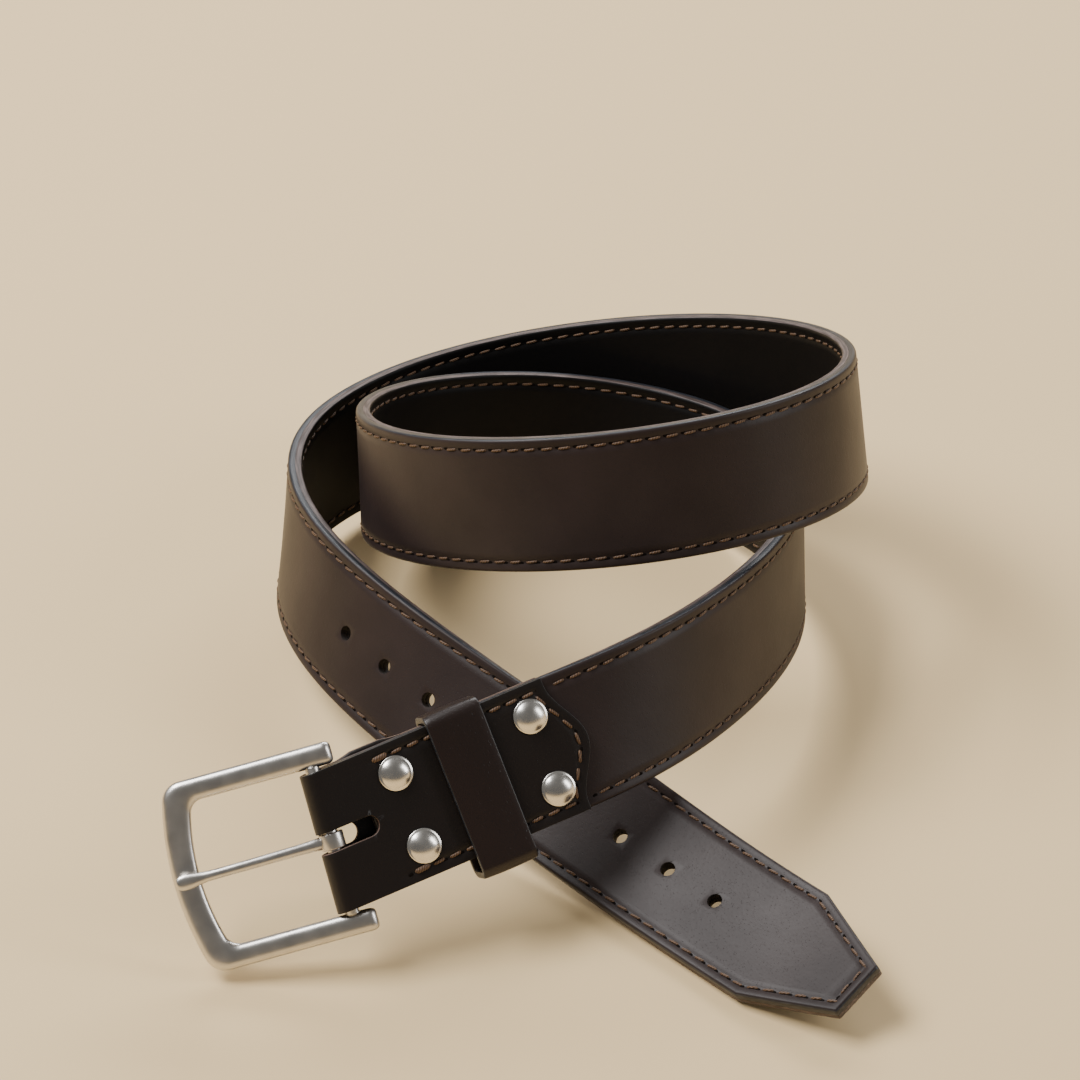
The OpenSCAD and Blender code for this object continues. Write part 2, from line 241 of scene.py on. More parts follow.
def strap_ply(side):
    """One ply, flat: punched, with the slot for the prong, its seam groove and rounded edges."""
    bm = cut_sheet(strap_stations, strap_rows)
    for v in bm.verts:
        v.co.y = row_across(v.co.x, v.co.y)
    slot_cells = [f for f in bm.faces
                  if f.calc_center_median().x < ply_slot_l and abs(f.calc_center_median().y) < ply_slot_half]
    bmesh.ops.delete(bm, geom=slot_cells, context="FACES")
    for i in range(hole_count):
        punch(bm, hole_place(i), 0, hole_r, punch_reach)
    thickened(bm, sheet_gap, ply_t)
    # Side faces inside the holes take the third material, painted near-black as the shade inside the holes;
    # the other side faces are the painted edge.
    for f in bm.faces:
        if abs(f.normal.z) < 0.5:
            c = f.calc_center_median()
            inside = any(math.hypot(c.x - hole_place(i), c.y) < hole_r * 1.02 for i in range(hole_count))
            f.material_index = 2 if inside else 1
    corners = [e for e in bm.edges if len(e.link_faces) == 2 and e.calc_face_angle() > 1]
    upper = [e for e in corners if all(v.co.z > ply_t / 2 for v in e.verts)]
    rims = [e for e in upper if any(f.material_index == 2 for f in e.link_faces)]
    outline = [e for e in upper if e not in set(rims) and all(v.co.x > strap_start + MM for v in e.verts)]
    lower = [e for e in corners if all(v.co.z < ply_t / 2 for v in e.verts)
             and all(v.co.x > strap_start + MM for v in e.verts)]
    rounded_off(bm, outline, edge_round, 4)
    rounded_off(bm, [e for e in rims if e.is_valid], hole_round, 2)
    rounded_off(bm, [e for e in lower if e.is_valid], inner_round, 2)
    # Faces in a narrow ring round each hole also take the third material: painted shade at the hole's mouth.
    for f in bm.faces:
        c = f.calc_center_median()
        if any(math.hypot(c.x - hole_place(i), c.y) < hole_r + hole_shade_rim for i in range(hole_count)):
            f.material_index = 2
    for v in bm.verts:
        if v.co.z > ply_t - 0.01 * MM:
            across = abs(v.co.y)
            seam_y = row_across(v.co.x, seam_row)
            near = groove_half * 1.02
            on_side = abs(across - seam_y) < groove_half * slant * 1.02 and v.co.x < end_seam + near
            on_end = abs(v.co.x - end_seam) < near and across < seam_y
            if (on_side or on_end) and v.co.x > groove_start:
                v.co.z -= groove_deep
    if side < 0:
        for v in bm.verts:
            v.co.z = -v.co.z
        bmesh.ops.reverse_faces(bm, faces=bm.faces)
    bent_to_coil(bm)
    return bm


def node(tree, kind, place=(0, 0), **settings):
    made = tree.nodes.new(kind)
    made.location = place
    for name, value in settings.items():
        setattr(made, name, value)
    return made


def hide_grain_group():
    """The surface of tanned hide: fine pores and pebbles, soft hollows and a cloudy dye."""
    group = bpy.data.node_groups.new("hide_grain", "ShaderNodeTree")
    face = group.interface
    face.new_socket("Place", in_out="INPUT", socket_type="NodeSocketVector")
    face.new_socket("Pebble size", in_out="INPUT", socket_type="NodeSocketFloat").default_value = 1
    face.new_socket("Height", in_out="OUTPUT", socket_type="NodeSocketFloat")
    face.new_socket("Cloud", in_out="OUTPUT", socket_type="NodeSocketFloat")
    face.new_socket("Pores", in_out="OUTPUT", socket_type="NodeSocketFloat")
    start, end = node(group, "NodeGroupInput"), node(group, "NodeGroupOutput", (900, 0))
    link = group.links.new
    sized = node(group, "ShaderNodeVectorMath", (150, 0), operation="SCALE")
    link(start.outputs["Place"], sized.inputs[0])
    link(start.outputs["Pebble size"], sized.inputs["Scale"])
    wander = node(group, "ShaderNodeTexNoise", (150, -250))
    wander.inputs["Scale"].default_value = 420
    wander.inputs["Detail"].default_value = 2
    link(sized.outputs[0], wander.inputs["Vector"])
    shaken = node(group, "ShaderNodeVectorMath", (320, -150), operation="MULTIPLY_ADD")
    shaken.inputs[1].default_value = (0.0012, 0.0012, 0.0012)
    link(wander.outputs["Color"], shaken.inputs[0])
    link(sized.outputs[0], shaken.inputs[2])
    pebbles = node(group, "ShaderNodeTexVoronoi", (480, -100), feature="SMOOTH_F1")
    pebbles.inputs["Scale"].default_value = 950
    pebbles.inputs["Smoothness"].default_value = 0.5
    link(shaken.outputs[0], pebbles.inputs["Vector"])
    pores = node(group, "ShaderNodeTexVoronoi", (480, -350), feature="F1")
    pores.inputs["Scale"].default_value = 1500
    link(shaken.outputs[0], pores.inputs["Vector"])
    pore_mask = node(group, "ShaderNodeMapRange", (640, -350))
    pore_mask.inputs["From Min"].default_value = 0.05
    pore_mask.inputs["From Max"].default_value = 0.22
    link(pores.outputs["Distance"], pore_mask.inputs["Value"])
    hollows = node(group, "ShaderNodeTexNoise", (480, 150))
    hollows.inputs["Scale"].default_value = 160
    hollows.inputs["Detail"].default_value = 3
    link(start.outputs["Place"], hollows.inputs["Vector"])
    clouds = node(group, "ShaderNodeTexNoise", (480, 350))
    clouds.inputs["Scale"].default_value = 26
    clouds.inputs["Detail"].default_value = 6
    clouds.inputs["Roughness"].default_value = 0.55
    link(start.outputs["Place"], clouds.inputs["Vector"])
    height = node(group, "ShaderNodeMath", (720, -50), operation="MULTIPLY_ADD")
    height.inputs[1].default_value = -0.45
    link(pebbles.outputs["Distance"], height.inputs[0])
    link(pore_mask.outputs["Result"], height.inputs[2])
    together = node(group, "ShaderNodeMath", (840, 100), operation="MULTIPLY_ADD")
    together.inputs[1].default_value = 1.6
    link(hollows.outputs["Fac"], together.inputs[0])
    link(height.outputs[0], together.inputs[2])
    link(together.outputs[0], end.inputs["Height"])
    link(clouds.outputs["Fac"], end.inputs["Cloud"])
    link(pore_mask.outputs["Result"], end.inputs["Pores"])
    return group


hide_grain = hide_grain_group()


def leather(name, deep, worn, roughness, relief, pebble=1.0, shine=0.25):
    """Waxed leather: deep is the colour in its hollows, and worn where it has been pulled and rubbed."""
    made = bpy.data.materials.new(name)
    made.use_nodes = True
    tree = made.node_tree
    link = tree.links.new
    shader = tree.nodes["Principled BSDF"]
    shader.inputs["Specular IOR Level"].default_value = shine
    place = node(tree, "ShaderNodeAttribute", (-900, 0), attribute_name="flat").outputs["Vector"]
    grain = node(tree, "ShaderNodeGroup", (-700, 0), node_tree=hide_grain)
    grain.inputs["Pebble size"].default_value = pebble
    link(place, grain.inputs["Place"])
    tone = node(tree, "ShaderNodeValToRGB", (-480, 150))
    tone.color_ramp.elements[0].position, tone.color_ramp.elements[1].position = 0.25, 0.85
    tone.color_ramp.elements[0].color = (*deep, 1)
    tone.color_ramp.elements[1].color = (*worn, 1)
    link(grain.outputs["Cloud"], tone.inputs["Fac"])
    darkened = node(tree, "ShaderNodeMix", (-250, 150), data_type="RGBA", blend_type="MULTIPLY")
    darkened.inputs["Factor"].default_value = 1
    # The colour is darkened in the pores of the grain: painted shade in these small pits.
    pore_tone = node(tree, "ShaderNodeMapRange", (-480, -100))
    pore_tone.inputs["To Min"].default_value = 0.62
    pore_tone.inputs["To Max"].default_value = 1
    link(grain.outputs["Pores"], pore_tone.inputs["Value"])
    link(tone.outputs["Color"], darkened.inputs["A"])
    link(pore_tone.outputs["Result"], darkened.inputs["B"])
    link(darkened.outputs["Result"], shader.inputs["Base Color"])
    gloss = node(tree, "ShaderNodeMapRange", (-480, -300))
    gloss.inputs["From Min"].default_value, gloss.inputs["From Max"].default_value = 0.3, 0.7
    gloss.inputs["To Min"].default_value = roughness + 0.04
    gloss.inputs["To Max"].default_value = roughness - 0.04
    link(grain.outputs["Cloud"], gloss.inputs["Value"])
    link(gloss.outputs["Result"], shader.inputs["Roughness"])
    bump = node(tree, "ShaderNodeBump", (-250, -300))
    bump.inputs["Strength"].default_value = 0.6
    bump.inputs["Distance"].default_value = relief
    link(grain.outputs["Height"], bump.inputs["Height"])
    link(bump.outputs["Normal"], shader.inputs["Normal"])
    return made


def cut_fibres_group():
    """The fibres of cut leather, drawn out along the edge: a mask, high where paint has rubbed off."""
    group = bpy.data.node_groups.new("cut_fibres", "ShaderNodeTree")
    face = group.interface
    face.new_socket("Place", in_out="INPUT", socket_type="NodeSocketVector")
    face.new_socket("Fineness", in_out="INPUT", socket_type="NodeSocketFloat").default_value = 1
    face.new_socket("Rubbed", in_out="OUTPUT", socket_type="NodeSocketFloat")
    face.new_socket("Height", in_out="OUTPUT", socket_type="NodeSocketFloat")
    start, end = node(group, "NodeGroupInput"), node(group, "NodeGroupOutput", (700, 0))
    link = group.links.new
    drawn = node(group, "ShaderNodeVectorMath", (150, 0), operation="MULTIPLY")
    drawn.inputs[1].default_value = (120, 900, 1900)
    link(start.outputs["Place"], drawn.inputs[0])
    fibre = node(group, "ShaderNodeTexNoise", (330, 0))
    fibre.inputs["Detail"].default_value = 5
    link(drawn.outputs[0], fibre.inputs["Vector"])
    link(start.outputs["Fineness"], fibre.inputs["Scale"])
    bare = node(group, "ShaderNodeMapRange", (510, 100))
    bare.inputs["From Min"].default_value, bare.inputs["From Max"].default_value = 0.42, 0.7
    link(fibre.outputs["Fac"], bare.inputs["Value"])
    link(bare.outputs["Result"], end.inputs["Rubbed"])
    link(fibre.outputs["Fac"], end.inputs["Height"])
    return group


cut_fibres = cut_fibres_group()


def painted_edge(name, paint, rubbed, roughness):
    """A cut edge, sanded, painted and rubbed: fibres show along it where the paint is thin."""
    made = bpy.data.materials.new(name)
    made.use_nodes = True
    tree = made.node_tree
    link = tree.links.new
    shader = tree.nodes["Principled BSDF"]
    place = node(tree, "ShaderNodeAttribute", (-900, 0), attribute_name="flat")
    fibres = node(tree, "ShaderNodeGroup", (-700, 0), node_tree=cut_fibres)
    link(place.outputs["Vector"], fibres.inputs["Place"])
    tone = node(tree, "ShaderNodeMix", (-340, 100), data_type="RGBA")
    tone.inputs["A"].default_value = (*paint, 1)
    tone.inputs["B"].default_value = (*rubbed, 1)
    link(fibres.outputs["Rubbed"], tone.inputs["Factor"])
    link(tone.outputs["Result"], shader.inputs["Base Color"])
    shader.inputs["Roughness"].default_value = roughness
    bump = node(tree, "ShaderNodeBump", (-340, -200))
    bump.inputs["Strength"].default_value = 0.5
    bump.inputs["Distance"].default_value = 0.00012
    link(fibres.outputs["Height"], bump.inputs["Height"])
    link(bump.outputs["Normal"], shader.inputs["Normal"])
    return made


grain_leather = leather("grain_leather", (0.020, 0.0128, 0.0120), (0.043, 0.0295, 0.0275), 0.44, 0.00005)
grain_edge = painted_edge("grain_edge", (0.010, 0.012, 0.017), (0.040, 0.042, 0.050), 0.42)
# The next material is near-black painted shade for the walls of the punched holes and a narrow ring round
# their mouths, streaked with cut fibres.
hole_wall_shade = painted_edge("hole_wall_shade", (0.006, 0.0035, 0.0025), (0.022, 0.013, 0.009), 0.8)
finished(strap_ply(1), "strap_grain_ply", [grain_leather, grain_edge, hole_wall_shade],
         "strap", "outer_leather", "strap_front")

# --- Strap, lining side -------------------------------------------------------------------------
# The inner ply, of the same cut: near-black lining leather, smooth and matt. Its edge is left a
# pinkish brown, and the two plies meet in a fine groove all round.
lining_leather = leather("lining_leather", (0.0022, 0.0017, 0.0017), (0.0062, 0.0050, 0.0050),
                         0.5, 0.00004, 1.3, 0.2)
lining_edge = painted_edge("lining_edge", (0.050, 0.034, 0.030), (0.17, 0.125, 0.115), 0.55)
finished(strap_ply(-1), "strap_lining_ply", [lining_leather, lining_edge, hole_wall_shade],
         "strap", "lining_leather", "strap_back")

# --- Strap seams --------------------------------------------------------------------------------
# A lockstitch of waxed brown thread, 4.9 mm a stitch, round both edges and the tip. Each stitch
# lies in the groove and dives at both ends into a needle hole, on the grain side and on the lining.
# Each needle hole is drawn as a flat near-black bead on the surface: painted shade where the hole is dark.
stitch_pitch, stitch_l, stitch_w, stitch_h = 4.89 * MM, 3.75 * MM, 0.72 * MM, 0.6 * MM


def plump_stitch():
    """One stitch of length, width and height 1 with sunk ends, and a bead of painted shade for the needle
    hole beyond.
    """
    bm = bmesh.new()
    bmesh.ops.create_uvsphere(bm, u_segments=8, v_segments=8, radius=1,
                              matrix=Matrix.Rotation(math.pi / 2, 4, "Y"))
    for v in bm.verts:
        round_part = math.hypot(v.co.y, v.co.z)
        fat = min(1, 1.35 * math.sqrt(max(1 - v.co.x ** 2, 0))) / (round_part or 1)
        v.co = v.co.x / 2, v.co.y * fat / 2, v.co.z * fat / 2 - 0.75 * abs(v.co.x) ** 3
    for f in bm.faces:
        f.smooth = True
    # The needle hole's bead: a flattened sphere that takes the near-black painted-shade material.
    hole = bmesh.ops.create_icosphere(bm, subdivisions=2, radius=1)["verts"]
    for f in {f for v in hole for f in v.link_faces}:
        f.material_index = 1
    return bm


one_stitch = plump_stitch()


def add_stitch(bm, place, direction, side, length, width, height, surface):
    """Lays a copy of the stitch in the groove, slanted a little, with its needle hole before the next, drawn
    as a flat bead of painted shade.
    """
    angle = math.atan2(direction[1], direction[0])
    lay = Matrix.Translation((place[0], place[1], 0)) @ Matrix.Rotation(angle + 0.09 * side, 4, "Z")
    beyond = (length + stitch_pitch) / 4 + length / 4
    copies = {}
    for v in one_stitch.verts:
        if v.link_faces[0].material_index:
            x, y, z = beyond + v.co.x * 0.75 * MM, v.co.y * 0.46 * MM, v.co.z * 0.06 * MM + 0.02 * MM
        else:
            x, y, z = v.co.x * length, v.co.y * width, (v.co.z + 0.28) * height
        flat_place = lay @ Vector((x, y, 0))
        copies[v] = bm.verts.new((flat_place.x, flat_place.y, side * (surface + z)))
    for f in one_stitch.faces:
        corners = [copies[v] for v in f.verts]
        made = bm.faces.new(corners if side > 0 else corners[::-1])
        made.material_index = f.material_index


def walked(corners, pitch, offset=0.0):
    """Places a stitch's length apart along a line of corners, with the direction of the line at each."""
    legs = [(b - a).length for a, b in zip(corners, corners[1:])]
    total, places, d = sum(legs), [], pitch / 2 + offset
    while d < total - pitch * 0.3:
        rest, k = d, 0
        while rest > legs[k]:
            rest -= legs[k]
            k += 1
        run = (corners[k + 1] - corners[k]) / legs[k]
        places.append((corners[k] + run * rest, run))
        d += pitch
    return places


seam_first = 70 * MM
corner_s = shoulder - seam_inset * math.tan(math.acos(1 / slant) / 2)
end_y = row_across(end_seam, seam_row)
seam_line = [Vector((seam_first, seam_row)), Vector((corner_s, seam_row)), Vector((end_seam, end_y)),
             Vector((end_seam, -end_y)), Vector((corner_s, -seam_row)), Vector((seam_first, -seam_row))]


def thread_material(name, dark, light):
    """Waxed thread: the strands' twist shows as fine slanting stripes, in relief and with painted shade in
    the grooves between the strands.
    """
    made = bpy.data.materials.new(name)
    made.use_nodes = True
    tree = made.node_tree
    link = tree.links.new
    shader = tree.nodes["Principled BSDF"]
    place = node(tree, "ShaderNodeAttribute", (-900, 0), attribute_name="flat")
    turned = node(tree, "ShaderNodeMapping", (-720, 0))
    turned.inputs["Rotation"].default_value = (0, 0, math.radians(35))
    link(place.outputs["Vector"], turned.inputs["Vector"])
    twist = node(tree, "ShaderNodeTexWave", (-540, 0))
    twist.inputs["Scale"].default_value = 520
    twist.inputs["Distortion"].default_value = 1.5
    twist.inputs["Detail"].default_value = 2
    link(turned.outputs["Vector"], twist.inputs["Vector"])
    tone = node(tree, "ShaderNodeValToRGB", (-340, 100))
    tone.color_ramp.elements[0].color = (*dark, 1)
    tone.color_ramp.elements[1].color = (*light, 1)
    link(twist.outputs["Fac"], tone.inputs["Fac"])
    link(tone.outputs["Color"], shader.inputs["Base Color"])
    shader.inputs["Roughness"].default_value = 0.55
    bump = node(tree, "ShaderNodeBump", (-340, -200))
    bump.inputs["Strength"].default_value = 0.6
    bump.inputs["Distance"].default_value = 0.0001
    link(twist.outputs["Fac"], bump.inputs["Height"])
    link(bump.outputs["Normal"], shader.inputs["Normal"])
    return made


brown_thread = thread_material("brown_thread", (0.050, 0.024, 0.011), (0.165, 0.090, 0.046))
# Needle holes: near-black painted shade, faintly mottled, on the flat beads between the stitches.
needle_hole_shade = bpy.data.materials.new("needle_hole_shade")
needle_hole_shade.use_nodes = True
needle_shade_tree = needle_hole_shade.node_tree
speck = node(needle_shade_tree, "ShaderNodeTexNoise", (-500, 0))
speck.inputs["Scale"].default_value = 2500
speck_tone = node(needle_shade_tree, "ShaderNodeValToRGB", (-300, 0))
speck_tone.color_ramp.elements[0].color = (0.002, 0.0015, 0.001, 1)
speck_tone.color_ramp.elements[1].color = (0.008, 0.005, 0.004, 1)
needle_shade_tree.links.new(node(needle_shade_tree, "ShaderNodeTexCoord", (-700, 0)).outputs["Object"], speck.inputs["Vector"])
needle_shade_tree.links.new(speck.outputs["Fac"], speck_tone.inputs["Fac"])
needle_shade_tree.links.new(speck_tone.outputs["Color"], needle_shade_tree.nodes["Principled BSDF"].inputs["Base Color"])
needle_shade_tree.nodes["Principled BSDF"].inputs["Roughness"].default_value = 0.9
needle_shade_tree.nodes["Principled BSDF"].inputs["Specular IOR Level"].default_value = 0.1

for side, name, cad_node in ((1, "strap_seam_grain", "strap_seam_front"),
                             (-1, "strap_seam_lining", "strap_seam_back")):
    bm = bmesh.new()
    for place, run in walked(seam_line, stitch_pitch, 0.5 * MM):
        add_stitch(bm, place, run, side, stitch_l, stitch_w, stitch_h, ply_t - groove_deep)
    bent_to_coil(bm)
    finished(bm, name, [brown_thread, needle_hole_shade], "strap", "thread", cad_node)

# --- Chape --------------------------------------------------------------------------------------
# One piece of 1.8 mm near-black leather folded round the bar and laid on both sides of the strap.
# Both leaves end in a bracket shape, and a slot with a raw rim lets the prong through the fold. On
# one edge the back leaf stands out a little past the front one, and its cut fibres show.
leaf_t, chape_l, bracket_l, bracket_y = 1.8 * MM, 68.5 * MM, 6.5 * MM, 17 * MM
slot_half, slot_l, slot_back_l, skew = 2.8 * MM, 13 * MM, 8 * MM, math.radians(6)
skew_l, bracket_start, leaf_round = 30 * MM, 45 * MM, 0.55 * MM
lip, lip_start, lip_end, lip_ramp = 0.9 * MM, 9 * MM, 26 * MM, 3 * MM
leaf_top, fold_l, chape_seam_start = ply_t + leaf_t, math.pi * ply_t, 17 * MM


def bar_place_of(x, y, z):
    """A point given along the strap, across it and outward from the bar's middle."""
    place, along, across = rings[0]
    return place + along * x + across * y + along.cross(across) * z


def bracket_x(y, inset=0.0):
    swell = 0.5 + 0.5 * math.cos(math.pi * y / bracket_y) if abs(y) < bracket_y else 0
    return chape_l - inset + bracket_l * swell


def folded(bm):
    """Takes the flat chape to its place, with its fold at 0 and the back leaf before it."""
    flat = bm.verts.layers.float_vector.new("flat")
    for v in bm.verts:
        v[flat] = v.co
        u, y, n = v.co
        pull = y * math.tan(skew)
        if u > fold_l / 2:
            x = u - fold_l / 2
            v.co = bar_place_of(x + pull * max(1 - x / skew_l, 0), y, ply_t + n)
        elif u < -fold_l / 2:
            x = -u - fold_l / 2
            v.co = bar_place_of(x + pull * max(1 - x / skew_l, 0), y, -ply_t - n)
        else:
            a = math.pi * (0.5 - u / fold_l)
            v.co = bar_place_of(-(ply_t + n) * math.sin(a) + pull, y, (ply_t + n) * math.cos(a))


arc = [math.radians(a) for a in (0, 18, 36, 54, 72, 90)]
arc_x, arc_back_x = (sorted(l - slot_half + slot_half * math.cos(a) for a in arc)
                     for l in (slot_l, slot_back_l))
arc_y = sorted(slot_half * math.sin(a) for a in arc)
leaf_x = [15 * MM + k * 3.34 * MM for k in range(15)]
leaf_x += [64.6 * MM, 65.1 * MM, 65.9 * MM, 66.4 * MM, 67.7 * MM, chape_l]
fold_u = [fold_l * k / 16 for k in range(-8, 9)]
front_u = [fold_l / 2 + x for x in [3 * MM, 6.5 * MM] + arc_x + leaf_x]
back_u = [fold_l / 2 + x for x in [2.6 * MM] + arc_back_x + [10.3 * MM, 12.6 * MM] + leaf_x]
chape_stations = [-u for u in reversed(back_u)] + fold_u + front_u
half_rows = arc_y + [4.5 * MM, 7.5 * MM, 10.5 * MM, 13.4 * MM] + [seam_row + k for k in groove_lines]
half_rows += [strap_w / 2 - edge_band, strap_w / 2]
chape_rows = [-r for r in reversed(half_rows[1:])] + half_rows
bm = cut_sheet(chape_stations, chape_rows)


def slot_gap(u, y):
    """Above 1 outside the slot, whose ends are round, and below 1 inside it."""
    x = abs(u) - fold_l / 2 - ((slot_l if u > 0 else slot_back_l) - slot_half)
    return math.hypot(max(x, 0), y) / slot_half


for f in bm.faces[:]:
    outside = [v for v in f.verts if slot_gap(v.co.x, v.co.y) > 1.001]
    on_rim = [v for v in f.verts if abs(slot_gap(v.co.x, v.co.y) - 1) <= 0.001]
    if len(on_rim) == 2 and len(outside) == 1 and len(f.verts) == 4:
        if not any(on_rim[0] in e.verts and on_rim[1] in e.verts for e in f.edges):
            bmesh.utils.face_split(f, on_rim[0], on_rim[1])
inside = [f for f in bm.faces if slot_gap(f.calc_center_median().x, f.calc_center_median().y) < 1
          and all(slot_gap(v.co.x, v.co.y) < 1.001 for v in f.verts)]
bmesh.ops.delete(bm, geom=inside, context="FACES")
for v in bm.verts:
    x = abs(v.co.x) - fold_l / 2
    if x > bracket_start:
        swell = (bracket_x(v.co.y) - chape_l) * (x - bracket_start) / (chape_l - bracket_start)
        v.co.x += math.copysign(swell, v.co.x)
for v in bm.verts:
    x = -v.co.x - fold_l / 2
    if lip_start < x < lip_end and v.co.y > seam_row:
        v.co.y += lip * min((x - lip_start) / lip_ramp, (lip_end - x) / lip_ramp, 1)
thickened(bm, sheet_gap, leaf_t)
for f in bm.faces:
    if abs(f.normal.z) < 0.5:
        c = f.calc_center_median()
        f.material_index = 2 if slot_gap(c.x, c.y) < 1.1 else (3 if c.x < 0 else 1)
corners = [e for e in bm.edges if len(e.link_faces) == 2 and e.calc_face_angle() > 1]
rounded_off(bm, [e for e in corners if all(v.co.z > leaf_t / 2 for v in e.verts)], leaf_round, 3)
for v in bm.verts:
    if v.co.z > leaf_t - 0.01 * MM and abs(v.co.x) > fold_l / 2 + chape_seam_start:
        x = abs(v.co.x) - fold_l / 2
        seam_x = bracket_x(v.co.y, seam_inset)
        on_side = abs(abs(v.co.y) - seam_row) < groove_half * 1.05 and x < seam_x + groove_half
        on_end = abs(x - seam_x) < groove_half * 1.3 and abs(v.co.y) < seam_row
        if on_side or on_end:
            v.co.z -= groove_deep
folded(bm)
chape_leather = leather("chape_leather", (0.0062, 0.0046, 0.0040), (0.017, 0.0115, 0.0095),
                        0.4, 0.00005, 1, 0.35)
chape_edge = painted_edge("chape_edge", (0.009, 0.009, 0.010), (0.034, 0.032, 0.032), 0.45)
slot_rim = painted_edge("slot_rim", (0.10, 0.058, 0.045), (0.24, 0.16, 0.13), 0.8)
fuzzy_edge = painted_edge("fuzzy_edge", (0.085, 0.052, 0.038), (0.30, 0.20, 0.15), 0.95)
finished(bm, "chape_folded", [chape_leather, chape_edge, slot_rim, fuzzy_edge],
         "strap", "chape_leather", "chape")

# --- Chape seams --------------------------------------------------------------------------------
# The same brown thread, a little thicker. It runs round the bracket end on the front leaf and on the
# back one, and is backed up with a double stitch at both starts.
chape_stitch_l, chape_stitch_w, chape_stitch_h = 3.9 * MM, 0.9 * MM, 0.8 * MM
double_l, double_w, double_lift = 4.8 * MM, 1.5 * MM, 0.25 * MM
steps = 24
end = [Vector((bracket_x(y, seam_inset), y))
       for y in (seam_row - 2 * seam_row * k / steps for k in range(steps + 1))]
chape_seam_line = [Vector((chape_seam_start, seam_row))] + end + [Vector((chape_seam_start, -seam_row))]
for side, name, cad_node in ((1, "chape_thread_grain", "chape_seam_front"),
                             (-1, "chape_thread_back", "chape_seam_back")):
    bm = bmesh.new()
    stitches = walked(chape_seam_line, stitch_pitch)
    for k, (place, run) in enumerate(stitches):
        doubled = k in (0, len(stitches) - 1)
        length, width = (double_l, double_w) if doubled else (chape_stitch_l, chape_stitch_w)
        lift = double_lift if doubled else 0
        add_stitch(bm, place, run, side, length, width, chape_stitch_h, leaf_top - groove_deep + lift)
    flat = bm.verts.layers.float_vector.new("flat")
    for v in bm.verts:
        v[flat] = v.co
        v.co = bar_place_of(*v.co)
    finished(bm, name, [brown_thread, needle_hole_shade], "strap", "thread", cad_node)

# --- Rivets -------------------------------------------------------------------------------------
# Two pairs of tubular rivets through chape and strap: a polished nickel cap, domed with a rolled
# rim, is set on a steel post whose flat flange shows on the back of the chape.
cap_r, cap_h, post_r, flange_r, flange_h = 4.8 * MM, 2.2 * MM, 1.5 * MM, 4.4 * MM, 0.8 * MM
rivet_places = [(x, y) for x in (22 * MM, 62 * MM) for y in (10.5 * MM, -10.5 * MM)]


def turned_part(profile, x, y, z):
    """A round part turned about the rivet's axis from a profile of (radius, height)."""
    bm = bmesh.new()
    verts = [bm.verts.new((r, 0, h)) for r, h in profile]
    edges = [bm.edges.new(pair) for pair in zip(verts, verts[1:])]
    bmesh.ops.spin(bm, geom=verts + edges, cent=(0, 0, 0), axis=(0, 0, 1), angle=2 * math.pi, steps=56,
                   use_merge=True, use_duplicate=False)
    bmesh.ops.remove_doubles(bm, verts=bm.verts, dist=1e-7)
    bmesh.ops.recalc_face_normals(bm, faces=bm.faces)
    for v in bm.verts:
        v.co = bar_place_of(x + v.co.x, y + v.co.y, z + v.co.z)
    return bm


def plating_group():
    """Plated metal close up: polishing marks drawn out one way, and a thin uneven film."""
    group = bpy.data.node_groups.new("plating", "ShaderNodeTree")
    face = group.interface
    face.new_socket("Place", in_out="INPUT", socket_type="NodeSocketVector")
    face.new_socket("Streak", in_out="INPUT", socket_type="NodeSocketVector").default_value = (900, 900, 900)
    face.new_socket("Marks", in_out="OUTPUT", socket_type="NodeSocketFloat")
    face.new_socket("Film", in_out="OUTPUT", socket_type="NodeSocketFloat")
    start, end = node(group, "NodeGroupInput"), node(group, "NodeGroupOutput", (700, 0))
    link = group.links.new
    drawn = node(group, "ShaderNodeVectorMath", (150, -100), operation="MULTIPLY")
    link(start.outputs["Place"], drawn.inputs[0])
    link(start.outputs["Streak"], drawn.inputs[1])
    marks = node(group, "ShaderNodeTexNoise", (330, -100))
    marks.inputs["Scale"].default_value = 1
    marks.inputs["Detail"].default_value = 4
    link(drawn.outputs[0], marks.inputs["Vector"])
    film = node(group, "ShaderNodeTexNoise", (330, 150))
    film.inputs["Scale"].default_value = 240
    film.inputs["Detail"].default_value = 5
    link(start.outputs["Place"], film.inputs["Vector"])
    link(marks.outputs["Fac"], end.inputs["Marks"])
    link(film.outputs["Fac"], end.inputs["Film"])
    return group


plating = plating_group()


